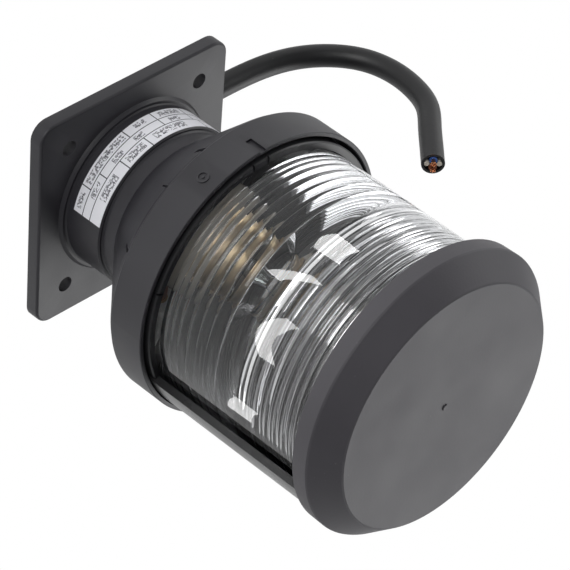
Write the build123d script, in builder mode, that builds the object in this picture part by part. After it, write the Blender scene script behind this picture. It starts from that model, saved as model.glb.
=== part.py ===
from build123d import *
import math
import os

os.makedirs("parts", exist_ok=True)

# Navigation light, aft facing screen, base down.
# +Z is the light's axis, the mounting face of the base plate is z = 0,
# and dead ahead is -Y. Millimetres.

# ---------------------------------------------------------------- base housing
plate_side = 80.0
plate_t = 5.0
plate_corner_r = 6.0
hole_pitch = 56.0
hole_d = 5.5
root_r, root_top = 31.3, 6.2        # low ring where the neck meets the plate
neck_r, neck_top = 29.5, 21.8
groove_r, groove_top = 27.9, 27.6
neck_bore_r = 25.0
floor_t = 4.0
bowl_z, bowl_r = 51.0, 50.2         # top of the flared part
flare_in = ((25.0, 28.6), (39.9, 43.0), (46.4, 49.0))   # inside of the flare as (r, z)
collar_r = 51.0
collar_z0, collar_top = 51.3, 65.2
collar_bore_r = 49.4
ledge_z, ledge_r = 55.2, 46.4
boss_r, boss_pitch_r, boss_top = 4.2, 33.5, 46.0
boss_angles = (30.0, 150.0, 270.0)
bayonet_n = 3
bayonet_arc = 16.0
twist_deg = 20.0                    # release to fully locked
base_lug_r = 44.75
base_lug_z0 = 52.6
base_lug_az = 60.0

# ---------------------------------------------------------------- head
ring_flange_r, ring_in_r = 48.2, 41.0
ring_skirt_r = 44.4
ring_lug_r = 46.1
ring_lug_z0, ring_lug_z1 = 49.6, 52.5
ring_flange_z0, ring_top = 57.25, 66.2
lens_seat_z = 60.0
lens_r = 45.6
lens_bottom, lens_top = 60.05, 138.0
lens_root_r = 43.5
focal_z = 99.6
screen_in_r, screen_out_r = 46.6, 49.2
screen_z0, screen_z1 = 61.0, 136.8
screen_arc = 135.0                  # leaves 225 degrees of light
cap_edge_z, cap_rim_z, cap_top = 132.7, 138.7, 147.3
cap_edge_r, cap_rim_r, cap_face_r = 50.85, 51.0, 43.7
oring_r, oring_d, oring_z = 47.6, 2.0, 56.22

# ---------------------------------------------------------------- lamp and holder
holder_z = 47.5
pin_z = 63.0
pin_r, pin_tip_r = 1.0, 13.25
cap_shell_r = 11.0
contact_x = 4.0
contact_z = 56.2
push_travel = 2.0
bulb_r, bulb_top = 17.5, 126.0

# ---------------------------------------------------------------- cable and gland
cable_r, cable_bore_r = 4.0, 3.15
core_r, core_off = 1.35, 1.45
strand_r = 0.72
cable_in_top = 22.0


def polar(r, deg):
    return (r * math.cos(math.radians(deg)), r * math.sin(math.radians(deg)))


def sector(r, a0, a1):
    # wedge outline as points, its far side beyond radius r
    n = 8
    pts = [(0.0, 0.0)]
    for i in range(n + 1):
        a = a0 + (a1 - a0) * i / n
        pts.append(polar(r * 1.05, a))
    return pts


# ============================================================ base housing
with BuildPart() as boss_stock:
    # bracket bosses, trimmed to the middle of the flare's wall
    with BuildSketch(Plane.XY.offset(26.0)):
        with Locations(*[polar(boss_pitch_r, a) for a in boss_angles]):
            Circle(boss_r)
    extrude(amount=boss_top - 26.0)
    with BuildSketch(Plane.XZ):
        with BuildLine():
            Polyline((0, 28.5), (26.8, 28.5), (43.3, 43.6), (43.3, 60.0), (0, 60.0), close=True)
        make_face()
    revolve(axis=Axis.Z, mode=Mode.INTERSECT)

with BuildPart() as base_housing:
    # square plate
    with BuildSketch(Plane.XY):
        RectangleRounded(plate_side, plate_side, plate_corner_r)
    extrude(amount=plate_t)
    top_edges = base_housing.faces().sort_by(Axis.Z)[-1].edges()
    fillet(top_edges, 0.9)
    # neck, groove, bowl and collar, outside skin as one solid of revolution
    with BuildSketch(Plane.XZ):
        with BuildLine():
            Polyline((0, 0.5), (0, collar_top), (collar_r - 0.25, collar_top),
                     (collar_r, collar_top - 0.25), (collar_r, collar_z0 + 0.5),
                     (collar_r - 0.5, collar_z0), (bowl_r, bowl_z), (bowl_r - 0.5, bowl_z - 0.9), (bowl_r - 6.0, bowl_z - 6.6),
                     (groove_r + 1.0, groove_top + 0.7), (groove_r, groove_top - 0.4), (groove_r, neck_top + 0.6), (groove_r + 0.5, neck_top),
                     (neck_r - 0.5, neck_top), (neck_r, neck_top - 0.5),
                     (neck_r, root_top + 0.4), (neck_r + 0.5, root_top),
                     (root_r - 0.4, root_top), (root_r, root_top - 0.5), (root_r + 0.5, plate_t),
                     (root_r + 0.5, 0.5), (0, 0.5))
        make_face()
    revolve(axis=Axis.Z)
    # hollow: neck bore, bowl, bayonet bore and collar bore
    with BuildSketch(Plane.XZ):
        with BuildLine():
            Polyline((0, floor_t), (neck_bore_r, floor_t), *flare_in,
                     (ledge_r, ledge_z), (collar_bore_r, ledge_z),
                     (collar_bore_r, collar_top - 0.3), (collar_bore_r + 0.3, collar_top),
                     (collar_bore_r + 0.3, collar_top + 1), (0, collar_top + 1), (0, floor_t))
        make_face()
    revolve(axis=Axis.Z, mode=Mode.SUBTRACT)
    # bosses for the bracket
    add(boss_stock.part)
    # ring shaped gland stand on the floor
    with BuildSketch(Plane.XY.offset(floor_t)):
        Circle(9.0)
    extrude(amount=10.0)
    with BuildSketch(Plane.XY.offset(-1)):
        Circle(cable_r + 0.3)
    extrude(amount=20, mode=Mode.SUBTRACT)
    with BuildSketch(Plane.XY.offset(5.0)):
        Circle(6.55)
    extrude(amount=12, mode=Mode.SUBTRACT)
    # bayonet lugs inside the ledge
    with BuildSketch(Plane.XY.offset(base_lug_z0)):
        Circle(ledge_r + 0.4)
        Circle(base_lug_r, mode=Mode.SUBTRACT)
        with BuildSketch(mode=Mode.PRIVATE) as lug_wedges:
            for k in range(bayonet_n):
                c = base_lug_az + 120.0 * k
                with BuildLine():
                    Polyline(*sector(ledge_r + 4, c - bayonet_arc / 2, c + bayonet_arc / 2), close=True)
                make_face()
        add(lug_wedges.sketch, mode=Mode.INTERSECT)
    extrude(amount=ledge_z - base_lug_z0)
    # mounting holes
    with BuildSketch(Plane.XY.offset(-1)):
        with GridLocations(hole_pitch, hole_pitch, 2, 2):
            Circle(hole_d / 2)
    extrude(amount=plate_t + 3, mode=Mode.SUBTRACT)
    # pilot holes in the bosses
    with BuildSketch(Plane.XY.offset(36.5)):
        with Locations(*[polar(boss_pitch_r, a) for a in boss_angles]):
            Circle(2.05)
    extrude(amount=20, mode=Mode.SUBTRACT)
    # dead ahead notch in the collar's rim
    notch = Plane(origin=(*polar(collar_r, 272.8), 58.4), x_dir=(*polar(1, 2.8), 0), z_dir=(0, 0, 1))
    with BuildSketch(notch):
        Rectangle(2.4, 1.7)
    extrude(amount=10, mode=Mode.SUBTRACT)
    # lock and release ticks behind the collar
    for az, wide, deep, run in ((286.0, 1.7, 1.1, 6.4), (305.0, 0.7, 0.8, 5.6), (332.0, 1.1, 0.7, 6.0)):
        tick = Plane(origin=(*polar(bowl_r - 0.1, az), bowl_z - 0.2), x_dir=(*polar(1, az + 90), 0),
                     z_dir=(*polar(-0.707, az), -0.707))
        with BuildSketch(tick):
            Rectangle(wide, 2 * deep)
        extrude(amount=run, mode=Mode.SUBTRACT)
    # raised ring and pip on the collar
    ring_mark = Plane(origin=(*polar(collar_r - 0.4, 295.0), 58.9), x_dir=(*polar(1, 25.0), 0), z_dir=(*polar(1, 295.0), 0))
    with BuildSketch(ring_mark):
        Circle(2.1)
        Circle(1.5, mode=Mode.SUBTRACT)
        Circle(0.5)
    extrude(amount=0.75)
base_housing.part.label = "base_housing"
export_step(base_housing.part, "parts/base_housing.step")

# ============================================================ rating label
label_z0, label_z1 = 9.1, 21.3
label_a0, label_a1 = 188.0, 347.6
with BuildPart() as rating_label:
    with BuildSketch(Plane.XZ):
        with BuildLine():
            Polyline((neck_r + 0.01, label_z0), (neck_r + 0.16, label_z0), (neck_r + 0.16, label_z1),
                     (neck_r + 0.01, label_z1), close=True)
        make_face()
    revolve(axis=Axis.Z)
    with BuildSketch(Plane.XY):
        n = 16
        with BuildLine():
            Polyline((0, 0), *[polar(60, label_a0 + (label_a1 - label_a0) * i / n) for i in range(n + 1)], close=True)
        make_face()
    extrude(amount=40, mode=Mode.INTERSECT)
rating_label.part.label = "rating_label"
export_step(rating_label.part, "parts/rating_label.step")

# ============================================================ lock ring (head side of the bayonet)
with BuildPart() as lock_ring:
    with BuildSketch(Plane.XZ):
        with BuildLine():
            Polyline((ring_in_r, ring_lug_z0), (ring_skirt_r, ring_lug_z0), (ring_skirt_r, ring_flange_z0),
                     (ring_flange_r, ring_flange_z0), (ring_flange_r, ring_top - 0.4),
                     (ring_flange_r - 0.4, ring_top), (lens_r + 0.1, ring_top), (lens_r + 0.1, lens_seat_z),
                     (ring_in_r, lens_seat_z), close=True)
        make_face()
    revolve(axis=Axis.Z)
    # outward lugs, at the release position
    with BuildSketch(Plane.XY.offset(ring_lug_z0)):
        Circle(ring_lug_r)
        Circle(ring_skirt_r - 0.4, mode=Mode.SUBTRACT)
        with BuildSketch(mode=Mode.PRIVATE) as ring_wedges:
            for k in range(bayonet_n):
                c = base_lug_az + twist_deg + 120.0 * k
                with BuildLine():
                    Polyline(*sector(ring_lug_r + 4, c - bayonet_arc / 2, c + bayonet_arc / 2), close=True)
                make_face()
        add(ring_wedges.sketch, mode=Mode.INTERSECT)
    extrude(amount=ring_lug_z1 - ring_lug_z0)
    # seat for the screen
    with BuildSketch(Plane.XY.offset(screen_z0 - 0.05)):
        Circle(ring_flange_r + 1)
        Circle(screen_in_r - 0.1, mode=Mode.SUBTRACT)
        with BuildSketch(mode=Mode.PRIVATE) as seat_wedge:
            n = 12
            a0, a1 = 90 - screen_arc / 2 - 0.3, 90 + screen_arc / 2 + 0.3
            with BuildLine():
                Polyline((0, 0), *[polar(60, a0 + (a1 - a0) * i / n) for i in range(n + 1)], close=True)
            make_face()
        add(seat_wedge.sketch, mode=Mode.INTERSECT)
    extrude(amount=10, mode=Mode.SUBTRACT)
    # radial witness slots on the top face
    for az in (271.0, 278.5, 340.0):
        cut = Plane(origin=(*polar(47.3, az), ring_top - 0.9), x_dir=(*polar(1, az), 0), z_dir=(0, 0, 1))
        with BuildSketch(cut):
            Rectangle(2.9, 0.7)
        extrude(amount=3, mode=Mode.SUBTRACT)
lock_ring.part.label = "lock_ring"
export_step(lock_ring.part, "parts/lock_ring.step")

# ============================================================ base seal
with BuildPart() as base_seal:
    with BuildSketch(Plane.XZ):
        with Locations((oring_r, oring_z)):
            Circle(oring_d / 2)
    revolve(axis=Axis.Z)
base_seal.part.label = "base_seal"
export_step(base_seal.part, "parts/base_seal.step")

# ============================================================ lens, smooth outside, ring prisms inside
# prism zones get narrower away from the belt, mirrored about the focal plane
zones = (92.6, 87.2, 83.1, 79.4, 75.5, 72.4, 70.2, 67.6)
low_pts = [(lens_root_r, lens_bottom)]
for lo, hi in zip(reversed(zones[1:]), reversed(zones[:-1])):
    w = hi - lo
    deep = 0.55 * w if w < 3.6 else 2.0
    low_pts += [(lens_root_r, lo), (lens_root_r - 0.62 * deep, lo + 0.28 * w), (lens_root_r - 0.93 * deep, lo + 0.6 * w),
                (lens_root_r - deep, lo + 0.84 * w), (lens_root_r, hi)]
belt = []
for i in range(1, 8):
    u = 2 * i / 8 - 1
    belt.append((lens_root_r - 3.2 * (1 - abs(u) ** 2.2), focal_z + 7.0 * u))
high_pts = [(r, 2 * focal_z - z) for r, z in reversed(low_pts[1:])]
outline = []
for p in low_pts + belt + high_pts + [(lens_root_r, lens_top), (lens_r, lens_top), (lens_r, lens_bottom)]:
    if not outline or math.dist(p, outline[-1]) > 1e-6:
        outline.append(p)
with BuildPart() as lens:
    with BuildSketch(Plane.XZ):
        with BuildLine():
            Polyline(*outline, close=True)
        make_face()
    revolve(axis=Axis.Z)
lens.part.label = "lens"
export_step(lens.part, "parts/lens.step")

# ============================================================ rear screen
with BuildPart() as rear_screen:
    with BuildSketch(Plane.XY.offset(screen_z0)):
        Circle(screen_out_r)
        Circle(screen_in_r, mode=Mode.SUBTRACT)
        with BuildSketch(mode=Mode.PRIVATE) as screen_wedge:
            n = 12
            a0, a1 = 90 - screen_arc / 2, 90 + screen_arc / 2
            with BuildLine():
                Polyline((0, 0), *[polar(60, a0 + (a1 - a0) * i / n) for i in range(n + 1)], close=True)
            make_face()
        add(screen_wedge.sketch, mode=Mode.INTERSECT)
    extrude(amount=screen_z1 - screen_z0)
rear_screen.part.label = "rear_screen"
export_step(rear_screen.part, "parts/rear_screen.step")

# ============================================================ top cap
with BuildPart() as top_cap:
    with BuildSketch(Plane.XZ):
        with BuildLine():
            Polyline((0, cap_top), (cap_face_r - 0.4, cap_top), (cap_face_r + 0.2, cap_top - 0.3),
                     (cap_rim_r - 0.3, cap_rim_z + 0.5), (cap_rim_r, cap_rim_z - 0.1),
                     (cap_edge_r, cap_edge_z + 0.3), (cap_edge_r - 0.3, cap_edge_z),
                     (49.4, cap_edge_z), (49.4, 136.9), (lens_r + 0.1, 136.9), (lens_r + 0.1, 139.6),
                     (41.5, 139.6), (41.5, 143.9), (41.0, 144.3), (0, 144.3), close=True)
        make_face()
    revolve(axis=Axis.Z)
    # moulding pip
    with BuildSketch(Plane.XY.offset(cap_top - 0.1)):
        Circle(1.1)
    extrude(amount=0.5)
top_cap.part.label = "top_cap"
export_step(top_cap.part, "parts/top_cap.step")

# ============================================================ cap gasket
with BuildPart() as cap_gasket:
    with BuildSketch(Plane.XZ):
        with Locations((44.2, (lens_top + 139.6) / 2)):
            Rectangle(2.6, 139.6 - lens_top - 0.04)
    revolve(axis=Axis.Z)
cap_gasket.part.label = "cap_gasket"
export_step(cap_gasket.part, "parts/cap_gasket.step")

# ============================================================ cable
# centre line of the cable outside the base, then up through the gland
cable_pts = [(-60.3, -14.6), (-75.7, -13.7), (-90.2, -9.6), (-99.4, -3.4), (-106.2, 5.3), (-109.1, 16.4),
             (-108.2, 27.3), (-104.4, 37.2), (-96.9, 45.9), (-87.7, 55.9), (-83.4, 60.6)]
bend_r = 14.0


def cable_path(y, top):
    # the same planar line carried to plane y
    with BuildLine() as ln:
        Spline(*[(x, y, z) for x, z in reversed(cable_pts)], (-14.0, y, -14.0),
                   tangents=((-0.66, 0, -0.75), (1, 0, 0)))
        ThreePointArc((-bend_r, y, -bend_r), (-bend_r * (1 - 0.70711), y, -bend_r * 0.70711), (0, y, 0))
        Line((0, y, 0), (0, y, top))
    return ln.wires()[0]


def along(wire, radius, bore=0.0):
    plane = Plane(origin=wire.position_at(0), x_dir=(0, 1, 0), z_dir=wire.tangent_at(0))
    with BuildPart() as tube:
        with BuildSketch(plane):
            Circle(radius)
        sweep(path=wire)
        if bore:
            with BuildSketch(plane):
                Circle(bore)
            sweep(path=wire, mode=Mode.SUBTRACT)
    return tube.part


cable_wire = cable_path(0.0, cable_in_top)
with BuildPart() as cable_sheath:
    add(along(cable_wire, cable_r, cable_bore_r))
cable_sheath.part.label = "cable_sheath"
export_step(cable_sheath.part, "parts/cable_sheath.step")


def core_wire(y, tail):
    with BuildLine() as ln:
        Spline(*[(x, y, z) for x, z in reversed(cable_pts)], (-14.0, y, -14.0),
               tangents=((-0.66, 0, -0.75), (1, 0, 0)))
        ThreePointArc((-bend_r, y, -bend_r), (-bend_r * (1 - 0.70711), y, -bend_r * 0.70711), (0, y, 0))
        Line((0, y, 0), (0, y, cable_in_top))
        FilletPolyline((0, y, cable_in_top), *tail, radius=3.0)
    return ln.wires()[0]


# the two cores fan out and rise through the bracket to the terminal block
way_x = 5.0
block_y0, block_y1 = 24.6, 34.6
wire_z = 52.5
tail_a = [(0, -core_off, 25.0), (-way_x, -core_off, 27.0), (-way_x, 20.4, 30.5), (-way_x, 20.4, wire_z), (-way_x, block_y0 - 0.1, wire_z)]
tail_b = [(0, core_off, 25.0), (way_x, core_off, 27.0), (way_x, 20.4, 30.5), (way_x, 20.4, wire_z), (way_x, block_y0 - 0.1, wire_z)]
blue_wire = core_wire(-core_off, tail_a)
brown_wire = core_wire(core_off, tail_b)
with BuildPart() as core_blue:
    add(along(blue_wire, core_r))
core_blue.part.label = "core_blue"
export_step(core_blue.part, "parts/core_blue.step")
with BuildPart() as core_brown:
    add(along(brown_wire, core_r))
core_brown.part.label = "core_brown"
export_step(core_brown.part, "parts/core_brown.step")
# bare conductor at each core's two ends
with BuildPart() as core_conductors:
    for wire in (blue_wire, brown_wire):
        with BuildSketch(Plane(origin=wire.position_at(0), x_dir=(0, 1, 0), z_dir=-wire.tangent_at(0))):
            Circle(strand_r)
        extrude(amount=2.0)
        with BuildSketch(Plane(origin=wire.position_at(1), x_dir=(1, 0, 0), z_dir=wire.tangent_at(1))):
            Circle(strand_r)
        extrude(amount=8.0)
core_conductors.part.label = "core_conductors"
export_step(core_conductors.part, "parts/core_conductors.step")

# soft filler strings on the inner and outer side of the cores, full length of the sheath
fill_off, fill_r = 2.1, 0.9


def beside(wire, offset, count=34):
    pts = []
    for k in range(count + 1):
        p, t = wire.position_at(k / count), wire.tangent_at(k / count)
        pts.append((p.X - t.Z * offset, 0.0, p.Z + t.X * offset))
    a, b = wire.tangent_at(0), wire.tangent_at(1)
    with BuildLine() as ln:
        Spline(*pts, tangents=((a.X, 0, a.Z), (b.X, 0, b.Z)))
    return ln.wires()[0]


with BuildPart() as cable_filler:
    for side in (-1, 1):
        add(along(beside(cable_wire, side * fill_off), fill_r))
cable_filler.part.label = "cable_filler"
export_step(cable_filler.part, "parts/cable_filler.step")

# ============================================================ gland
with BuildPart() as gland_seal:
    with BuildSketch(Plane.XZ):
        with BuildLine():
            Polyline((cable_r + 0.03, 5.02), (6.5, 5.02), (6.5, 12.4), (6.1, 12.9), (cable_r + 0.03, 12.9), close=True)
        make_face()
    revolve(axis=Axis.Z)
gland_seal.part.label = "gland_seal"
export_step(gland_seal.part, "parts/gland_seal.step")

with BuildPart() as gland_washer:
    with BuildSketch(Plane.XZ):
        with Locations(((cable_r + 0.2 + 6.4) / 2, 13.45)):
            Rectangle(6.4 - cable_r - 0.2, 1.0)
    revolve(axis=Axis.Z)
gland_washer.part.label = "gland_washer"
export_step(gland_washer.part, "parts/gland_washer.step")

with BuildPart() as gland_nut:
    with BuildSketch(Plane.XY.offset(6.0)):
        RegularPolygon(12.6, 6)
    extrude(amount=12.0)
    with BuildSketch(Plane.XY.offset(5.0)):
        Circle(9.05)
    extrude(amount=9.1, mode=Mode.SUBTRACT)
    with BuildSketch(Plane.XY.offset(5.0)):
        Circle(cable_r + 0.3)
    extrude(amount=20, mode=Mode.SUBTRACT)
    chamfer(gland_nut.faces().sort_by(Axis.Z)[-1].outer_wire().edges(), 0.8)
gland_nut.part.label = "gland_nut"
export_step(gland_nut.part, "parts/gland_nut.step")

# ============================================================ holder bracket
with BuildPart() as holder_bracket:
    with BuildSketch(Plane.XY.offset(boss_top)):
        Circle(39.0)
        Circle(11.2, mode=Mode.SUBTRACT)
        with Locations(*[polar(boss_pitch_r, a) for a in boss_angles]):
            Circle(2.2, mode=Mode.SUBTRACT)
        # lightening slots
        with Locations(*[Location((*polar(27.0, a), 0), (0, 0, a)) for a in (210.0, 330.0, 0.0, 180.0)]):
            SlotOverall(13.0, 6.5, rotation=90, mode=Mode.SUBTRACT)
        # wire opening beside the holder and notch at the rim
        with Locations((0, 21.2)):
            SlotOverall(15.6, 5.2, mode=Mode.SUBTRACT)
        with Locations((0, 38.6)):
            SlotOverall(15.0, 5.0, mode=Mode.SUBTRACT)
        # block screw
        with Locations((0, 29.6)):
            Circle(1.6, mode=Mode.SUBTRACT)
    extrude(amount=holder_z - boss_top)
holder_bracket.part.label = "holder_bracket"
export_step(holder_bracket.part, "parts/holder_bracket.step")

with BuildPart() as bracket_screws:
    with BuildSketch(Plane.XY.offset(holder_z)):
        with Locations(*[polar(boss_pitch_r, a) for a in boss_angles]):
            Circle(3.8)
    extrude(amount=2.4)
    fillet(bracket_screws.faces().filter_by(Plane.XY).group_by(Axis.Z)[-1].edges(), 1.0)
    with BuildSketch(Plane.XY.offset(38.0)):
        with Locations(*[polar(boss_pitch_r, a) for a in boss_angles]):
            Circle(2.0)
    extrude(amount=holder_z - 38.0 + 0.5)
    with BuildSketch(Plane.XY.offset(holder_z + 1.2)):
        with Locations(*[Location((*polar(boss_pitch_r, a), 0), (0, 0, a + 25)) for a in boss_angles]):
            Rectangle(4.2, 0.9)
            Rectangle(0.9, 4.2)
    extrude(amount=3, mode=Mode.SUBTRACT)
bracket_screws.part.label = "bracket_screws"
export_step(bracket_screws.part, "parts/bracket_screws.step")

# ============================================================ lampholder
with BuildPart() as lampholder_body:
    with BuildSketch(Plane.XZ):
        with BuildLine():
            Polyline((0, 38.0), (11.0, 38.0), (11.0, holder_z), (18.0, holder_z), (18.4, holder_z + 0.4),
                     (18.4, 54.0), (17.6, 55.5), (17.2, 68.0), (16.4, 69.0), (13.9, 69.0), (13.5, 68.6),
                     (13.5, 52.0), (0, 52.0), close=True)
        make_face()
    revolve(axis=Axis.Z)
    with BuildSketch(Plane.XY.offset(30)):
        with Locations((contact_x, 0), (-contact_x, 0)):
            Circle(2.3)
    extrude(amount=19.0, mode=Mode.SUBTRACT)
    with BuildSketch(Plane.XY.offset(48.9)):
        with Locations((contact_x, 0), (-contact_x, 0)):
            Circle(1.65)
    extrude(amount=10, mode=Mode.SUBTRACT)
lampholder_body.part.label = "lampholder_body"
export_step(lampholder_body.part, "parts/lampholder_body.step")

with BuildPart() as holder_locknut:
    with BuildSketch(Plane.XY.offset(41.5)):
        RegularPolygon(16.0, 8)
        Circle(11.05, mode=Mode.SUBTRACT)
    extrude(amount=boss_top - 41.5)
    chamfer(holder_locknut.faces().sort_by(Axis.Z)[0].outer_wire().edges(), 0.6)
holder_locknut.part.label = "holder_locknut"
export_step(holder_locknut.part, "parts/holder_locknut.step")

slot_lo, slot_hi = pin_z - push_travel - pin_r - 0.1, pin_z + pin_r + 0.1
with BuildPart() as lampholder_shell:
    with BuildSketch(Plane.XZ):
        with BuildLine():
            Polyline((11.3, 52.0), (13.4, 52.0), (13.4, 53.0), (12.3, 53.0), (12.3, 72.4), (12.9, 72.9),
                     (12.9, 73.5), (12.2, 73.5), (11.3, 72.6), close=True)
        make_face()
    revolve(axis=Axis.Z)
    # bayonet slots: down from the rim, then round, with the lamp pins at their closed end
    for side in (0.0, 180.0):
        n = 8
        with BuildSketch(Plane.XY.offset(slot_lo)):
            a0, a1 = side - 6.2, side + twist_deg + 6.2
            with BuildLine():
                Polyline((0, 0), *[polar(20, a0 + (a1 - a0) * i / n) for i in range(n + 1)], close=True)
            make_face()
        extrude(amount=slot_hi - slot_lo, mode=Mode.SUBTRACT)
        with BuildSketch(Plane.XY.offset(slot_lo)):
            a0, a1 = side + twist_deg - 6.2, side + twist_deg + 6.2
            with BuildLine():
                Polyline((0, 0), *[polar(20, a0 + (a1 - a0) * i / n) for i in range(n + 1)], close=True)
            make_face()
        extrude(amount=20, mode=Mode.SUBTRACT)
lampholder_shell.part.label = "lampholder_shell"
export_step(lampholder_shell.part, "parts/lampholder_shell.step")

with BuildPart() as contact_plungers:
    for x in (-contact_x, contact_x):
        with BuildSketch(Plane.XY.offset(46.0)):
            with Locations((x, 0)):
                Circle(2.2)
        extrude(amount=1.4)
        with BuildSketch(Plane.XY.offset(46.0)):
            with Locations((x, 0)):
                Circle(1.55)
        extrude(amount=contact_z - 46.0)
    fillet(contact_plungers.faces().filter_by(Plane.XY).group_by(Axis.Z)[-1].edges(), 0.5)
contact_plungers.part.label = "contact_plungers"
export_step(contact_plungers.part, "parts/contact_plungers.step")

with BuildPart() as contact_springs:
    for x in (-contact_x, contact_x):
        with BuildLine(mode=Mode.PRIVATE) as coil:
            Helix(pitch=1.12, height=5.6, radius=1.75, center=(x, 0, 40.15))
        w = coil.wires()[0]
        with BuildSketch(Plane(origin=w.position_at(0), z_dir=w.tangent_at(0))):
            Circle(0.2)
        sweep(path=w, is_frenet=True)
contact_springs.part.label = "contact_springs"
export_step(contact_springs.part, "parts/contact_springs.step")

with BuildPart() as spring_seats:
    with BuildSketch(Plane.XY.offset(38.2)):
        with Locations((contact_x, 0), (-contact_x, 0)):
            Circle(2.25)
    extrude(amount=1.6)
    with BuildSketch(Plane.XY.offset(36.6)):
        with Locations((contact_x, 0), (-contact_x, 0)):
            Circle(1.5)
    extrude(amount=1.7)
spring_seats.part.label = "spring_seats"
export_step(spring_seats.part, "parts/spring_seats.step")

with BuildPart() as holder_leads:
    for s in (-1, 1):
        with BuildLine(mode=Mode.PRIVATE) as lead:
            FilletPolyline((s * contact_x, 0, 36.5), (s * contact_x, 0, 33.0), (s * 9.5, 20.0, 34.8), (s * 9.5, 30.0, 38.5),
                           (s * way_x, 37.6, 44.0), (s * way_x, 37.6, wire_z), (s * way_x, block_y1 + 0.1, wire_z), radius=1.8)
        w = lead.wires()[0]
        with BuildSketch(Plane(origin=w.position_at(0), z_dir=w.tangent_at(0))):
            Circle(1.0)
        sweep(path=w)
holder_leads.part.label = "holder_leads"
export_step(holder_leads.part, "parts/holder_leads.step")

# ============================================================ terminal block
block_y = (block_y0 + block_y1) / 2
with BuildPart() as terminal_block:
    with BuildSketch(Plane.XY.offset(holder_z)):
        with Locations((0, block_y)):
            RectangleRounded(21.0, block_y1 - block_y0, 1.0)
    extrude(amount=10.0)
    with BuildSketch(Plane.XZ.offset(-(block_y0 - 1))):
        with Locations((way_x, wire_z), (-way_x, wire_z)):
            Circle(2.3)
    extrude(amount=-(block_y1 - block_y0 + 2), mode=Mode.SUBTRACT)
    with BuildSketch(Plane.XY.offset(wire_z)):
        with Locations(*[(sx * way_x, block_y + sy * 2.4) for sx in (-1, 1) for sy in (-1, 1)]):
            Circle(1.75)
    extrude(amount=10, mode=Mode.SUBTRACT)
    with BuildSketch(Plane.XY.offset(holder_z - 1)):
        with Locations((0, block_y)):
            Circle(1.6)
    extrude(amount=14, mode=Mode.SUBTRACT)
    with BuildSketch(Plane.XY.offset(holder_z + 6.5)):
        with Locations((0, block_y)):
            Circle(2.9)
    extrude(amount=10, mode=Mode.SUBTRACT)
terminal_block.part.label = "terminal_block"
export_step(terminal_block.part, "parts/terminal_block.step")

with BuildPart() as terminal_clamps:
    with BuildSketch(Plane.XZ.offset(-(block_y0 + 0.4))):
        with Locations((way_x, wire_z), (-way_x, wire_z)):
            Circle(2.25)
            Circle(1.1, mode=Mode.SUBTRACT)
    extrude(amount=-(block_y1 - block_y0 - 0.8))
    with BuildSketch(Plane.XY.offset(wire_z)):
        with Locations(*[(sx * way_x, block_y + sy * 2.4) for sx in (-1, 1) for sy in (-1, 1)]):
            Circle(1.3)
    extrude(amount=10, mode=Mode.SUBTRACT)
terminal_clamps.part.label = "terminal_clamps"
export_step(terminal_clamps.part, "parts/terminal_clamps.step")

with BuildPart() as terminal_screws:
    with BuildSketch(Plane.XY.offset(wire_z + 1.0)):
        with Locations(*[(sx * way_x, block_y + sy * 2.4) for sx in (-1, 1) for sy in (-1, 1)]):
            Circle(1.25)
    extrude(amount=3.4)
    with BuildSketch(Plane.XY.offset(wire_z + 3.6)):
        with Locations(*[Location((sx * way_x, block_y + sy * 2.4, 0), (0, 0, 30 * sx + 50 * sy)) for sx in (-1, 1) for sy in (-1, 1)]):
            Rectangle(4.0, 0.5)
    extrude(amount=3, mode=Mode.SUBTRACT)
terminal_screws.part.label = "terminal_screws"
export_step(terminal_screws.part, "parts/terminal_screws.step")

with BuildPart() as block_screw:
    with BuildSketch(Plane.XY.offset(holder_z + 6.55)):
        with Locations((0, block_y)):
            Circle(2.75)
    extrude(amount=1.9)
    with BuildSketch(Plane.XY.offset(43.0)):
        with Locations((0, block_y)):
            Circle(1.5)
    extrude(amount=holder_z + 7 - 43.0)
    with BuildSketch(Plane.XY.offset(holder_z + 7.5)):
        with Locations(Location((0, block_y, 0), (0, 0, 35))):
            Rectangle(4.2, 0.7)
    extrude(amount=3, mode=Mode.SUBTRACT)
block_screw.part.label = "block_screw"
export_step(block_screw.part, "parts/block_screw.step")

with BuildPart() as block_nut:
    with BuildSketch(Plane.XY.offset(43.5)):
        with Locations((0, block_y)):
            RegularPolygon(3.1, 6)
            Circle(1.55, mode=Mode.SUBTRACT)
    extrude(amount=boss_top - 43.5 - 0.02)
block_nut.part.label = "block_nut"
export_step(block_nut.part, "parts/block_nut.step")

# ============================================================ lamp
with BuildPart() as bulb_cap:
    with BuildSketch(Plane.XZ):
        with BuildLine():
            Polyline((9.6, 57.4), (10.4, 57.0), (cap_shell_r, 57.8), (cap_shell_r, 78.4), (cap_shell_r + 0.25, 78.9),
                     (cap_shell_r + 0.25, 79.4), (10.5, 79.4), (10.5, 58.2), (9.6, 58.0), close=True)
        make_face()
    revolve(axis=Axis.Z)
    with BuildSketch(Plane.YZ.offset(10.6)):
        with Locations((0, pin_z)):
            Circle(pin_r)
    extrude(amount=pin_tip_r - 10.6)
    with BuildSketch(Plane.YZ.offset(-pin_tip_r)):
        with Locations((0, pin_z)):
            Circle(pin_r)
    extrude(amount=pin_tip_r - 10.6)
bulb_cap.part.label = "bulb_cap"
export_step(bulb_cap.part, "parts/bulb_cap.step")

with BuildPart() as cap_insulator:
    with BuildSketch(Plane.XZ):
        with BuildLine():
            Polyline((0, 56.8), (9.2, 56.8), (9.55, 57.3), (9.55, 58.3), (10.4, 58.6), (10.4, 60.6), (0, 60.6), close=True)
        make_face()
    revolve(axis=Axis.Z)
    with BuildSketch(Plane.XY.offset(50)):
        with Locations((contact_x, 0), (-contact_x, 0)):
            Circle(2.15)
    extrude(amount=8.6, mode=Mode.SUBTRACT)
cap_insulator.part.label = "cap_insulator"
export_step(cap_insulator.part, "parts/cap_insulator.step")

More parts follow.
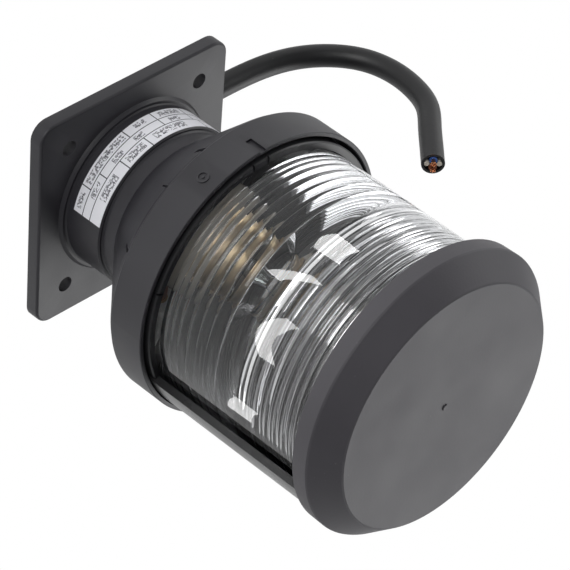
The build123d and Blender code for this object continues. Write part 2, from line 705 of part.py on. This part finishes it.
with BuildPart() as lamp_contacts:
    with BuildSketch(Plane.XY.offset(contact_z)):
        with Locations((contact_x, 0), (-contact_x, 0)):
            Circle(2.1)
    extrude(amount=2.35)
    fillet(lamp_contacts.faces().filter_by(Plane.XY).group_by(Axis.Z)[0].edges(), 0.4)
lamp_contacts.part.label = "lamp_contacts"
export_step(lamp_contacts.part, "parts/lamp_contacts.step")

glass_out = [(10.2, 64.0), (10.2, 78.0), (10.6, 81.5), (13.4, 87.0), (16.4, 93.5), (bulb_r, 101.5),
             (17.0, 110.0), (14.2, 118.6), (8.6, 124.4), (0.0, bulb_top)]
glass_in = [(9.5, 64.0), (9.5, 78.0), (9.9, 81.7), (12.75, 87.3), (15.7, 93.8), (bulb_r - 0.7, 101.5),
            (16.3, 109.9), (13.6, 118.1), (8.2, 123.7), (0.0, bulb_top - 0.7)]
with BuildPart() as bulb_glass:
    with BuildSketch(Plane.XZ):
        with BuildLine():
            Line(glass_out[0], glass_out[1])
            Spline(*glass_out[1:], tangents=((0, 1), (-1, 0)))
            Line(glass_out[-1], glass_in[-1])
            Spline(*list(reversed(glass_in[1:])), tangents=((1, 0), (0, -1)))
            Line(glass_in[1], glass_in[0])
            Line(glass_in[0], glass_out[0])
        make_face()
    revolve(axis=Axis.Z)
bulb_glass.part.label = "bulb_glass"
export_step(bulb_glass.part, "parts/bulb_glass.step")

with BuildPart() as bulb_stem:
    with BuildSketch(Plane.XZ):
        with BuildLine():
            Polyline((0, 70.0), (3.4, 70.0))
            Spline((3.4, 70.0), (3.1, 76.0), (2.0, 83.0), (1.6, 87.0), (1.9, 88.6), (0, 90.2))
            Line((0, 90.2), (0, 70.0))
        make_face()
    revolve(axis=Axis.Z)
    with BuildSketch(Plane.XZ):
        with BuildLine():
            Polyline((3.3, 70.0), (9.4, 64.2), (9.4, 65.2), (3.35, 71.2), close=True)
        make_face()
    revolve(axis=Axis.Z)
bulb_stem.part.label = "bulb_stem"
export_step(bulb_stem.part, "parts/bulb_stem.step")

fil_x, fil_r = 6.2, 0.55
with BuildPart() as bulb_supports:
    for s in (-1, 1):
        with BuildLine(mode=Mode.PRIVATE) as sup:
            Spline((s * 2.5, 0, 84.0), (s * 3.2, 0, 88.0), (s * (fil_x + 0.5), 0, focal_z - 1.0), (s * (fil_x + 0.7), 0, focal_z + 0.2),
                   tangents=((0, 0, 1), (0, 0, 1)))
        w = sup.wires()[0]
        with BuildSketch(Plane(origin=w.position_at(0), z_dir=w.tangent_at(0))):
            Circle(0.3)
        sweep(path=w)
    with BuildSketch(Plane.XY.offset(90.25)):
        Circle(0.22)
    extrude(amount=focal_z - 90.25 - fil_r - 0.2)
bulb_supports.part.label = "bulb_supports"
export_step(bulb_supports.part, "parts/bulb_supports.step")

with BuildPart() as bulb_filament:
    with BuildLine(mode=Mode.PRIVATE) as coil:
        Helix(pitch=0.62, height=2 * fil_x - 0.2, radius=fil_r, center=(-fil_x + 0.1, 0, focal_z), direction=(1, 0, 0))
    w = coil.wires()[0]
    with BuildSketch(Plane(origin=w.position_at(0), z_dir=w.tangent_at(0))):
        Circle(0.13)
    sweep(path=w, is_frenet=True)
bulb_filament.part.label = "bulb_filament"
export_step(bulb_filament.part, "parts/bulb_filament.step")
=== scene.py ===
import math
import random
import bpy
import bmesh
from mathutils import Matrix, Vector


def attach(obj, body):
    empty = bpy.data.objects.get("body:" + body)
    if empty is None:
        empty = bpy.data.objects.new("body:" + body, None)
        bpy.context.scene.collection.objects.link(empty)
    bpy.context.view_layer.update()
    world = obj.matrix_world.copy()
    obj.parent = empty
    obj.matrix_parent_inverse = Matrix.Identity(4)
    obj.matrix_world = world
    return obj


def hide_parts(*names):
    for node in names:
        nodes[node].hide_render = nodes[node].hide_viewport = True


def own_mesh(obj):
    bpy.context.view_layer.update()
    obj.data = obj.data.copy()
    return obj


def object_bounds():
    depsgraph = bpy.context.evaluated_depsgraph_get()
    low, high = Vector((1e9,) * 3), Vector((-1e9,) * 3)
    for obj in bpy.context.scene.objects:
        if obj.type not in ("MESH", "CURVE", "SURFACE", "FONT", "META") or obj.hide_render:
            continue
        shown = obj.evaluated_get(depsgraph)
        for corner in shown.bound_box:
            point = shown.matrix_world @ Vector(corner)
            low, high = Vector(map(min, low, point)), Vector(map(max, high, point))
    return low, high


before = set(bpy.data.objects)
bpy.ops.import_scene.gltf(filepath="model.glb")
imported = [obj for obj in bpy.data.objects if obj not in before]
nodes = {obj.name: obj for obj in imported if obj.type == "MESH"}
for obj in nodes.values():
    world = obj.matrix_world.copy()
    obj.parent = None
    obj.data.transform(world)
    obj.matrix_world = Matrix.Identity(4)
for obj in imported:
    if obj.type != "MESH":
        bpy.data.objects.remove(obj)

cad_lo, cad_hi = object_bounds()
MM = 0.001
random.seed(7)


# ------------------------------------------------------------------ helpers
def link(obj):
    bpy.context.scene.collection.objects.link(obj)
    return obj


def smooth(obj, angle=35.0):
    for p in obj.data.polygons:
        p.use_smooth = True
    me = obj.data
    bm = bmesh.new()
    bm.from_mesh(me)
    lim = math.radians(angle)
    for e in bm.edges:
        if len(e.link_faces) == 2:
            e.smooth = e.calc_face_angle(0.0) < lim
        else:
            e.smooth = False
    bm.to_mesh(me)
    bm.free()


def spin(name, profile, segs=288, closed=True, a0=0.0, a1=360.0, angle=28.0):
    """Solid of revolution from (r, z) points in mm, run clockwise round the section's outline."""
    full = abs((a1 - a0) - 360.0) < 1e-6
    bm = bmesh.new()
    rows = []
    count = segs if full else segs + 1
    for i in range(count):
        a = math.radians(a0 + (a1 - a0) * i / segs)
        c, s = math.cos(a), math.sin(a)
        row = []
        for r, z in profile:
            if r < 1e-6:
                row.append(None)
            else:
                row.append(bm.verts.new((r * c * MM, r * s * MM, z * MM)))
        rows.append(row)
    poles = {}
    for j, (r, z) in enumerate(profile):
        if r < 1e-6:
            poles[j] = bm.verts.new((0, 0, z * MM))
    n = len(profile)
    pairs = [(j, (j + 1) % n) for j in range(n)] if closed else [(j, j + 1) for j in range(n - 1)]
    steps = segs if full else segs
    for i in range(steps):
        ra, rb = rows[i], rows[(i + 1) % count]
        for j, k in pairs:
            va = [ra[j] if ra[j] is not None else poles[j], rb[j] if rb[j] is not None else poles[j],
                  rb[k] if rb[k] is not None else poles[k], ra[k] if ra[k] is not None else poles[k]]
            out = []
            for v in va:
                if v not in out:
                    out.append(v)
            if len(out) >= 3:
                bm.faces.new(out)
    if not full and closed:
        for row in (rows[0], rows[-1]):
            bm.faces.new([v for v in row if v is not None])
    bmesh.ops.recalc_face_normals(bm, faces=bm.faces)
    me = bpy.data.meshes.new(name)
    bm.to_mesh(me)
    bm.free()
    obj = link(bpy.data.objects.new(name, me))
    smooth(obj, angle)
    return obj


def rounded(points, radius=0.4, steps=4, closed=True):
    """Rounds every corner of a (r, z) outline by a small fillet."""
    out = []
    n = len(points)
    for i, p in enumerate(points):
        rad = p[2] if len(p) > 2 else radius
        p = Vector(p[:2])
        if not closed and i in (0, n - 1) or p.x < 1e-6 or rad <= 0:
            out.append(tuple(p))
            continue
        a, b = Vector(points[i - 1][:2]), Vector(points[(i + 1) % n][:2])
        u, v = (a - p), (b - p)
        lu, lv = u.length, v.length
        if lu < 1e-6 or lv < 1e-6:
            out.append(tuple(p))
            continue
        u.normalize(); v.normalize()
        cosang = max(-1.0, min(1.0, u.dot(v)))
        ang = math.acos(cosang)
        if ang > math.radians(176):
            out.append(tuple(p))
            continue
        d = min(rad / math.tan(ang / 2), lu * 0.45, lv * 0.45)
        s, e = p + u * d, p + v * d
        for k in range(steps + 1):
            t = k / steps
            q = s * (1 - t) ** 2 + p * 2 * t * (1 - t) + e * t ** 2
            out.append((q.x, q.y))
    return out


# ------------------------------------------------------------------ materials
def new_mat(name):
    m = bpy.data.materials.new(name)
    m.use_nodes = True
    nt = m.node_tree
    nt.nodes.clear()
    out = nt.nodes.new("ShaderNodeOutputMaterial")
    bsdf = nt.nodes.new("ShaderNodeBsdfPrincipled")
    nt.links.new(bsdf.outputs[0], out.inputs[0])
    tc = nt.nodes.new("ShaderNodeTexCoord")
    return m, nt, bsdf, tc


def noise(nt, tc, scale, detail=3.0, rough=0.55, stretch=None):
    n = nt.nodes.new("ShaderNodeTexNoise")
    n.inputs["Scale"].default_value = scale
    n.inputs["Detail"].default_value = detail
    n.inputs["Roughness"].default_value = rough
    if stretch:
        mp = nt.nodes.new("ShaderNodeMapping")
        mp.inputs["Scale"].default_value = stretch
        nt.links.new(tc.outputs["Object"], mp.inputs[0])
        nt.links.new(mp.outputs[0], n.inputs["Vector"])
    else:
        nt.links.new(tc.outputs["Object"], n.inputs["Vector"])
    return n.outputs["Fac"]


def maprange(nt, src, a, b, c, d):
    m = nt.nodes.new("ShaderNodeMapRange")
    nt.links.new(src, m.inputs[0])
    for i, v in zip((1, 2, 3, 4), (a, b, c, d)):
        m.inputs[i].default_value = v
    return m.outputs[0]


def mix_rgb(nt, fac, a, b, kind="MIX"):
    m = nt.nodes.new("ShaderNodeMix")
    m.data_type = "RGBA"
    m.blend_type = kind
    for sock, val in ((m.inputs[0], fac), (m.inputs[6], a), (m.inputs[7], b)):
        if hasattr(val, "links"):
            nt.links.new(val, sock)
        elif isinstance(val, (tuple, list)):
            sock.default_value = (*val[:3], 1.0)
        else:
            sock.default_value = val
    return m.outputs[2]


def bump(nt, bsdf, height, dist, strength=1.0):
    b = nt.nodes.new("ShaderNodeBump")
    b.inputs["Distance"].default_value = dist
    b.inputs["Strength"].default_value = strength
    nt.links.new(height, b.inputs["Height"])
    nt.links.new(b.outputs[0], bsdf.inputs["Normal"])
    return b


def plastic(name, col, rough=0.42, grain=1400.0, grain_d=0.00002, mottled=0.18, edge_wear_and_highlight=0.012, spec=0.5, dust=0.012, coat=0.0):
    """Moulded plastic: fine spark texture, cloudy sheen, faint dust, lighter convex edges that are partly wear and
    partly a painted edge highlight.
    """
    m, nt, bsdf, tc = new_mat(name)
    cloud = noise(nt, tc, 38.0, 4.0)
    fine = noise(nt, tc, grain, 2.0)
    base = mix_rgb(nt, maprange(nt, cloud, 0.3, 0.7, 0.0, 1.0), tuple(c * (1 - mottled) for c in col), tuple(c * (1 + mottled) for c in col))
    geo = nt.nodes.new("ShaderNodeNewGeometry")
    # painted edge highlight, partly wear: convex edges (by pointiness) get a lighter base colour
    point = maprange(nt, geo.outputs["Pointiness"], 0.52, 0.60, 0.0, 1.0)
    base = mix_rgb(nt, point, base, tuple(min(1.0, c + edge_wear_and_highlight) for c in col))
    if dust:
        v = nt.nodes.new("ShaderNodeTexVoronoi")
        v.inputs["Scale"].default_value = 420.0
        nt.links.new(tc.outputs["Object"], v.inputs["Vector"])
        patch = noise(nt, tc, 60.0, 2.0)
        spot = maprange(nt, v.outputs["Distance"], 0.05, 0.11, 1.0, 0.0)
        gate = maprange(nt, patch, 0.62, 0.70, 0.0, 1.0)
        mul = nt.nodes.new("ShaderNodeMath"); mul.operation = "MULTIPLY"
        nt.links.new(spot, mul.inputs[0]); nt.links.new(gate, mul.inputs[1])
        base = mix_rgb(nt, mul.outputs[0], base, tuple(min(1.0, c + dust * 5) for c in col))
    nt.links.new(base, bsdf.inputs["Base Color"])
    nt.links.new(maprange(nt, cloud, 0.25, 0.75, rough - 0.05, rough + 0.06), bsdf.inputs["Roughness"])
    bsdf.inputs["Specular IOR Level"].default_value = spec
    bsdf.inputs["Coat Weight"].default_value = coat
    bump(nt, bsdf, fine, grain_d)
    return m


def metal(name, col, rough=0.3, tarnish=(0.2, 0.15, 0.1), amount=0.35, brushed=None):
    m, nt, bsdf, tc = new_mat(name)
    cloud = noise(nt, tc, 160.0, 5.0)
    scratch = noise(nt, tc, 900.0, 3.0, stretch=brushed or (1, 1, 6))
    base = mix_rgb(nt, maprange(nt, cloud, 0.35, 0.75, 0.0, amount), col, tarnish)
    nt.links.new(base, bsdf.inputs["Base Color"])
    bsdf.inputs["Metallic"].default_value = 1.0
    nt.links.new(maprange(nt, cloud, 0.2, 0.8, rough - 0.08, rough + 0.15), bsdf.inputs["Roughness"])
    bump(nt, bsdf, scratch, 0.00001)
    return m


def clear(name, ior=1.49, rough=0.0, tint=(1, 1, 1), ripple=0.0, haze=0.0):
    m, nt, bsdf, tc = new_mat(name)
    cloud = noise(nt, tc, 90.0, 3.0)
    base = mix_rgb(nt, cloud, tint, tuple(min(1.0, c * 0.985) for c in tint))
    nt.links.new(base, bsdf.inputs["Base Color"])
    bsdf.inputs["IOR"].default_value = ior
    bsdf.inputs["Transmission Weight"].default_value = 1.0
    nt.links.new(maprange(nt, cloud, 0.3, 0.8, rough, rough + haze), bsdf.inputs["Roughness"])
    if ripple:
        bump(nt, bsdf, noise(nt, tc, 55.0, 2.0), ripple)
    return m


M = {}
M["housing"] = plastic("moulded_black_housing", (0.0235, 0.0225, 0.0275), rough=0.46)
M["cap"] = plastic("moulded_black_cap", (0.060, 0.0565, 0.065), rough=0.55, grain=1100.0, grain_d=0.00003, mottled=0.10)
M["ring"] = plastic("moulded_black_ring", (0.011, 0.011, 0.013), rough=0.38)
M["screen"] = plastic("moulded_black_screen", (0.006, 0.006, 0.007), rough=0.30)
M["rubber"] = plastic("black_rubber", (0.02, 0.02, 0.02), rough=0.7, spec=0.3, dust=0.0)
M["jacket"] = plastic("cable_jacket", (0.008, 0.008, 0.009), rough=0.42, grain=700.0, grain_d=0.00002, dust=0.01)
M["nylon"] = plastic("black_nylon", (0.03, 0.03, 0.03), rough=0.5, dust=0.0)
M["blue"] = plastic("blue_core", (0.035, 0.12, 0.42), rough=0.38, dust=0.0, edge_wear_and_highlight=0.0)
M["brown"] = plastic("brown_core", (0.22, 0.07, 0.03), rough=0.38, dust=0.0, edge_wear_and_highlight=0.0)
M["filler"] = plastic("filler_string", (0.62, 0.59, 0.52), rough=0.9, grain=2600.0, grain_d=0.0001, dust=0.0)
M["lead"] = plastic("silicone_sleeve", (0.03, 0.03, 0.03), rough=0.6, dust=0.0)
# its convex edges are lightened more: part wear, part painted edge highlight
M["block"] = plastic("white_block", (0.72, 0.72, 0.69), rough=0.35, dust=0.0, edge_wear_and_highlight=0.05)
M["porcelain"] = plastic("cream_porcelain", (0.56, 0.52, 0.45), rough=0.22, grain=300.0, grain_d=0.00001, mottled=0.08, dust=0.0, coat=0.6)
M["vitrite"] = plastic("black_vitrite", (0.012, 0.012, 0.016), rough=0.15, dust=0.0, coat=0.5)
M["brass"] = metal("aged_brass", (0.66, 0.52, 0.32), 0.36, (0.30, 0.22, 0.13), 0.6)
M["zinc"] = metal("zinc_plate", (0.66, 0.66, 0.63), 0.34, (0.40, 0.40, 0.36), 0.5)
M["spring"] = metal("spring_wire", (0.56, 0.56, 0.56), 0.25, (0.3, 0.3, 0.3), 0.4)
M["solder"] = metal("tinned_pad", (0.68, 0.68, 0.66), 0.32, (0.4, 0.4, 0.4), 0.5)
M["copper"] = metal("bare_copper", (0.88, 0.42, 0.22), 0.25, (0.45, 0.16, 0.07), 0.45)
M["tungsten"] = metal("tungsten", (0.28, 0.28, 0.29), 0.3, (0.15, 0.15, 0.16), 0.4)
M["lens"] = clear("clear_polycarbonate", 1.53, 0.0, (0.975, 0.98, 0.992), ripple=0.00003, haze=0.006)
M["lampglass"] = clear("lamp_glass", 1.5, 0.0, (1, 1, 1))
M["stem"] = clear("stem_glass", 1.5, 0.02, (0.90, 0.97, 0.93))


# ------------------------------------------------------------------ label: ruled table with unreadable bars
def label_material():
    m, nt, bsdf, tc = new_mat("ruled_label")
    L = nt.links

    def math_node(op, a, b=None, c=None):
        n = nt.nodes.new("ShaderNodeMath")
        n.operation = op
        for i, v in enumerate((a, b, c)):
            if v is None:
                continue
            if hasattr(v, "links"):
                L.new(v, n.inputs[i])
            else:
                n.inputs[i].default_value = v
        return n.outputs[0]

    sep = nt.nodes.new("ShaderNodeSeparateXYZ")
    L.new(tc.outputs["Object"], sep.inputs[0])
    ang = math_node("MULTIPLY", math_node("ARCTAN2", sep.outputs[1], sep.outputs[0]), 180.0 / math.pi)
    ang = math_node("ADD", ang, math_node("MULTIPLY", math_node("LESS_THAN", ang, 0.0), 360.0))
    z = math_node("MULTIPLY", sep.outputs[2], 1000.0)

    def near(v, at, half):
        return math_node("LESS_THAN", math_node("ABSOLUTE", math_node("SUBTRACT", v, at)), half)

    def band(v, lo, hi):
        return math_node("MULTIPLY", math_node("GREATER_THAN", v, lo), math_node("LESS_THAN", v, hi))

    def union(items):
        out = items[0]
        for i in items[1:]:
            out = math_node("MAXIMUM", out, i)
        return out

    rows = {"top": (16.55, 21.4), "mid": (13.1, 16.55), "low": (8.9, 13.1)}
    lines = [near(z, 16.55, 0.16), near(z, 13.1, 0.16)]
    for row, cols in (("top", (304.5, 283.5, 236.0)), ("mid", (318.0, 265.5, 240.0)), ("low", (329.6, 288.5, 265.5, 240.0))):
        inrow = band(z, *rows[row])
        for c in cols:
            lines.append(math_node("MULTIPLY", inrow, near(ang, c, 0.36)))
    ink_line = union(lines)
    # print: short upright strokes broken by noise, never letters
    wob = nt.nodes.new("ShaderNodeTexNoise")
    wob.inputs["Scale"].default_value = 1300.0
    wob.inputs["Detail"].default_value = 1.0
    L.new(tc.outputs["Object"], wob.inputs["Vector"])
    stroke = math_node("GREATER_THAN", math_node("SINE", math_node("MULTIPLY", ang, 4.3)), -0.15)
    stroke2 = math_node("GREATER_THAN", math_node("SINE", math_node("MULTIPLY", z, 5.2)), -0.35)
    speck = math_node("GREATER_THAN", wob.outputs["Fac"], 0.47)
    ink_mask = math_node("MULTIPLY", math_node("MAXIMUM", math_node("MULTIPLY", stroke, stroke2), math_node("MULTIPLY", speck, 0.6)), speck)
    runs = [("top", 313.0, 331.0, 17.6, 20.4), ("top", 286.5, 301.5, 17.4, 20.2), ("top", 252.0, 278.0, 17.4, 20.2),
            ("mid", 322.5, 333.5, 13.9, 15.9), ("mid", 298.5, 307.5, 13.9, 15.9), ("mid", 280.5, 288.0, 13.9, 15.9), ("mid", 250.0, 259.0, 13.9, 15.9),
            ("low", 333.5, 344.5, 10.0, 11.8), ("low", 290.5, 327.5, 9.9, 12.3), ("low", 272.5, 281.0, 9.9, 11.9), ("low", 244.0, 262.0, 9.9, 12.2)]
    boxes = [math_node("MULTIPLY", band(ang, a, b), band(z, c, d)) for _, a, b, c, d in runs]
    ink_text = math_node("MULTIPLY", union(boxes), ink_mask)
    ink = math_node("MAXIMUM", ink_line, math_node("MULTIPLY", ink_text, 0.97))
    paper = mix_rgb(nt, noise(nt, tc, 220.0, 3.0), (0.84, 0.84, 0.89), (0.90, 0.90, 0.94))
    col = mix_rgb(nt, ink, paper, (0.035, 0.035, 0.05))
    L.new(col, bsdf.inputs["Base Color"])
    bsdf.inputs["Roughness"].default_value = 0.34
    bump(nt, bsdf, noise(nt, tc, 500.0, 2.0), 0.000015)
    return m


M["label"] = label_material()

assign = {
    "base_housing": "housing", "rating_label": "label", "lock_ring": "ring", "base_seal": "rubber", "rear_screen": "screen",
    "top_cap": "cap", "cap_gasket": "rubber", "cable_sheath": "jacket", "core_blue": "blue", "core_brown": "brown",
    "core_conductors": "copper", "cable_filler": "filler", "gland_seal": "rubber", "gland_washer": "zinc", "gland_nut": "nylon",
    "holder_bracket": "zinc", "bracket_screws": "zinc", "lampholder_body": "porcelain", "holder_locknut": "brass",
    "lampholder_shell": "brass", "contact_plungers": "brass", "contact_springs": "spring", "spring_seats": "brass",
    "holder_leads": "lead", "terminal_block": "block", "terminal_clamps": "brass", "terminal_screws": "zinc",
    "block_screw": "zinc", "block_nut": "zinc", "bulb_cap": "brass", "cap_insulator": "vitrite", "lamp_contacts": "solder",
    "bulb_glass": "lampglass", "bulb_stem": "stem", "bulb_supports": "tungsten", "bulb_filament": "tungsten", "lens": "lens",
}
for name, obj in nodes.items():
    me = obj.data
    me.shade_smooth()
    me.set_sharp_from_angle(angle=math.radians(28.0))
    mat = M[assign[name]]
    if not obj.material_slots:
        obj.data.materials.append(mat)
    for s in obj.material_slots:
        s.material = mat


# ------------------------------------------------------------------ lens, fine mesh with rounded prism tips
def lens_profile():
    """Smooth outside; inside, seven prism zones below and above a bulging belt, narrower away from it."""
    root = 43.5
    zones = (92.6, 87.2, 83.1, 79.4, 75.5, 72.4, 70.2, 67.6)
    low = [(root, 60.05)]
    for lo, hi in zip(reversed(zones[1:]), reversed(zones[:-1])):
        w = hi - lo
        deep = 0.55 * w if w < 3.6 else 2.0
        low.append((root, lo))
        for k in range(1, 16):
            t = k / 16
            h = math.sin(math.pi / 2 * t / 0.84) ** 0.85 if t < 0.84 else math.cos(math.pi / 2 * (t - 0.84) / 0.16) ** 0.8
            low.append((root - deep * h, lo + w * t))
    pts = list(low) + [(root, zones[0])]
    for k in range(1, 40):
        u = 2 * k / 40 - 1
        pts.append((root - 3.2 * (1 - abs(u) ** 2.2), 99.6 + 7.0 * u))
    pts.append((root, 106.6))
    pts += [(r, 199.2 - z) for r, z in reversed(low[1:])]
    pts += [(root, 138.0), (45.3, 138.0), (45.6, 137.7)]
    for k in range(1, 24):
        pts.append((45.6, 131.6 - 64.0 * k / 24))
    pts += [(45.6, 60.35), (45.3, 60.05)]
    return pts


lens = spin("lens_moulding", lens_profile(), segs=320, angle=60.0)
lens.data.materials.append(M["lens"])
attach(lens, "head")
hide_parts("lens")


# ------------------------------------------------------------------ contact springs, copied into a mesh of their own on the base
coil_src = nodes["contact_springs"]
coils = link(bpy.data.objects.new("contact_coils", coil_src.data.copy()))
coils.matrix_world = coil_src.matrix_world.copy()
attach(coils, "base")
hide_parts("contact_springs")
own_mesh(coils)


# ------------------------------------------------------------------ stranded conductor ends
def tube(bm, pts, r, sides=8):
    """A round wire through points, in metres, with a domed tip at each end."""
    rings = []
    for i, p in enumerate(pts):
        a = pts[max(i - 1, 0)]
        b = pts[min(i + 1, len(pts) - 1)]
        t = (b - a).normalized()
        u = t.orthogonal().normalized() if not rings else (rings[-1][1] - t * rings[-1][1].dot(t)).normalized()
        v = t.cross(u)
        ring = [bm.verts.new(p + (u * math.cos(2 * math.pi * k / sides) + v * math.sin(2 * math.pi * k / sides)) * r) for k in range(sides)]
        rings.append((ring, u))
    for (ra, _), (rb, _) in zip(rings[:-1], rings[1:]):
        for k in range(sides):
            bm.faces.new((ra[k], ra[(k + 1) % sides], rb[(k + 1) % sides], rb[k]))
    for ring, tip in ((rings[0][0], pts[0] - (pts[1] - pts[0]).normalized() * r * 0.5), (rings[-1][0], pts[-1] + (pts[-1] - pts[-2]).normalized() * r * 0.5)):
        c = bm.verts.new(tip)
        for k in range(sides):
            bm.faces.new((ring[k], ring[(k + 1) % sides], c))


def bundle(bm, origin, direction, length, splay, seed, wires=12, r=0.11, spread=0.56):
    rng = random.Random(seed)
    d = Vector(direction).normalized()
    u = d.orthogonal().normalized()
    v = d.cross(u)
    spots = [(0.0, 0.0)] + [(0.28, 60.0 * k) for k in range(6)] + [(spread, 30.0 * k + 11) for k in range(wires)]
    for rad, deg in spots:
        out_len = length * rng.uniform(0.72, 1.12)
        lean = splay * rad / spread * rng.uniform(0.3, 1.3)
        twist = 34.0
        pts = []
        for i in range(7):
            t = i / 6
            a = math.radians(deg + twist * t)
            rr = rad + lean * t * t
            pts.append(Vector(origin) + (d * (out_len * t - 0.6 * (1 - t)) + (u * math.cos(a) + v * math.sin(a)) * rr) * MM)
        tube(bm, pts, r * MM)


bm = bmesh.new()
end_dir = (-4.3, 0, -4.7)
end = Vector((-83.4, 0, 60.6))
out = -Vector((-0.66, 0, -0.75)).normalized()
bundle(bm, (end + Vector((0, -1.45, 0))) * MM, out, 2.3, 0.35, 3)
bundle(bm, (end + Vector((0, 1.45, 0))) * MM, out, 2.0, 0.3, 5)
for sx in (-1, 1):
    bundle(bm, Vector((sx * 5.0, 24.5, 52.5)) * MM, (0, 1, 0), 6.0, 0.0, 9 + sx)
bmesh.ops.recalc_face_normals(bm, faces=bm.faces)
me = bpy.data.meshes.new("conductor_strands")
bm.to_mesh(me)
bm.free()
strands = link(bpy.data.objects.new("conductor_strands", me))
for p in me.polygons:
    p.use_smooth = True
me.materials.append(M["copper"])
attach(strands, "base")
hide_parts("core_conductors")


# ------------------------------------------------------------------ floor, light and camera
floor_m, nt, bsdf, tc = new_mat("pale_floor")
bsdf.inputs["Roughness"].default_value = 0.9
bsdf.inputs["Emission Color"].default_value = (1, 1, 1, 1)
bsdf.inputs["Emission Strength"].default_value = 0.26
floor_tone = noise(nt, tc, 1.5, 2.0)
nt.links.new(mix_rgb(nt, floor_tone, (0.86, 0.86, 0.86), (0.88, 0.88, 0.88)), bsdf.inputs["Base Color"])
lit = nt.nodes.new("ShaderNodeEmission")
lit.inputs[0].default_value = (1, 1, 1, 1)
lit.inputs[1].default_value = 1.0
path = nt.nodes.new("ShaderNodeLightPath")
pick = nt.nodes.new("ShaderNodeMixShader")
nt.links.new(path.outputs["Is Camera Ray"], pick.inputs[0])
nt.links.new(bsdf.outputs[0], pick.inputs[1])
nt.links.new(lit.outputs[0], pick.inputs[2])
nt.links.new(pick.outputs[0], [n for n in nt.nodes if n.type == "OUTPUT_MATERIAL"][0].inputs[0])
me = bpy.data.meshes.new("floor")
s = 6.0
fz = cad_lo.z - 0.001
me.from_pydata([(-s, -s, fz), (s, -s, fz), (s, s, fz), (-s, s, fz)], [], [(0, 1, 2, 3)])
floor = link(bpy.data.objects.new("floor", me))
me.materials.append(floor_m)

world = bpy.data.worlds.new("studio")
bpy.context.scene.world = world
world.use_nodes = True
wn = world.node_tree
R = Matrix(((-0.71940331, -0.0618012, 0.69183776), (0.41076634, 0.76534338, 0.49550028), (-0.56011596, 0.6406482, -0.52520471)))
right, down, fwd = Vector(R[0]), Vector(R[1]), Vector(R[2])
bg = wn.nodes["Background"]
wtc = wn.nodes.new("ShaderNodeTexCoord")
dot = wn.nodes.new("ShaderNodeVectorMath")
dot.operation = "DOT_PRODUCT"
dot.inputs[1].default_value = fwd
wn.links.new(wtc.outputs["Generated"], dot.inputs[0])
mr = wn.nodes.new("ShaderNodeMapRange")
mr.interpolation_type = "SMOOTHSTEP"
wn.links.new(dot.outputs["Value"], mr.inputs[0])
mr.inputs[1].default_value = -0.3
mr.inputs[2].default_value = 0.75
mr.inputs[3].default_value = 0.20
mr.inputs[4].default_value = 0.85
wn.links.new(mr.outputs[0], bg.inputs[1])
bg.inputs[0].default_value = (0.98, 0.99, 1.0, 1)

cam_pos = Vector((0.65346, -0.75039, 0.68928))
cam = bpy.data.cameras.new("camera")
cam.sensor_width = 36.0
cam.lens = 234.56
cam_obj = link(bpy.data.objects.new("camera", cam))
rot = Matrix((right, -down, -fwd)).transposed()
cam_obj.matrix_world = Matrix.Translation(cam_pos) @ rot.to_4x4()
bpy.context.scene.camera = cam_obj
bpy.context.scene.view_settings.view_transform = "Standard"


def area(name, pos, target, size, power, col=(1, 1, 1), size_y=None):
    li = bpy.data.lights.new(name, "AREA")
    li.shape = "RECTANGLE"
    li.size = size
    li.size_y = size_y or size
    li.energy = power
    li.color = col
    o = link(bpy.data.objects.new(name, li))
    o.location = pos
    d = Vector(target) - Vector(pos)
    o.rotation_mode = "QUATERNION"
    o.rotation_quaternion = d.to_track_quat("-Z", "Y")
    return o


mid = Vector((0, 0, 0.08))


def from_view(az_right, up, dist):
    """A place given from the camera's own view: to its right, above it, and round behind the object if dist is negative."""
    d = right * az_right + (-down) * up - fwd * dist
    return mid + d


def low_strip(name, az, dist, turn, size, size_y, power):
    """A soft strip lying just over the floor, whose reflection shows in the clear belt."""
    a = math.radians(az)
    o = area(name, Vector((dist * math.cos(a), dist * math.sin(a), fz + 0.003)), Vector((0, 0, 1)), size, power, size_y=size_y)
    o.rotation_mode = "XYZ"
    o.rotation_euler = (math.pi, 0, math.radians(turn))
    o.visible_camera = False
    return o


area("top_back", mid + Vector((-0.56, 0.64, 0.62)) * 1.1, mid, 0.8, 4.8)
area("left_edge", from_view(-1.0, 0.15, -0.25), mid, 0.35, 3.6, size_y=0.9)
area("right_edge", from_view(0.9, 0.55, -0.1), mid, 0.35, 2.6, size_y=0.9)
area("front_fill", from_view(-0.35, 0.35, 1.0), mid, 0.7, 6.0)
low_strip("low_a", -18.0, 0.245, -15.0, 0.014, 0.15, 0.060)
low_strip("low_b", -97.0, 0.243, -97.0, 0.022, 0.08, 0.060)
low_strip("low_c", -62.0, 0.240, -40.0, 0.012, 0.07, 0.028)
low_strip("low_e", -25.0, 0.315, -25.0, 0.04, 0.16, 0.050)
low_strip("low_g", 50.0, 0.231, 60.0, 0.020, 0.06, 0.018)
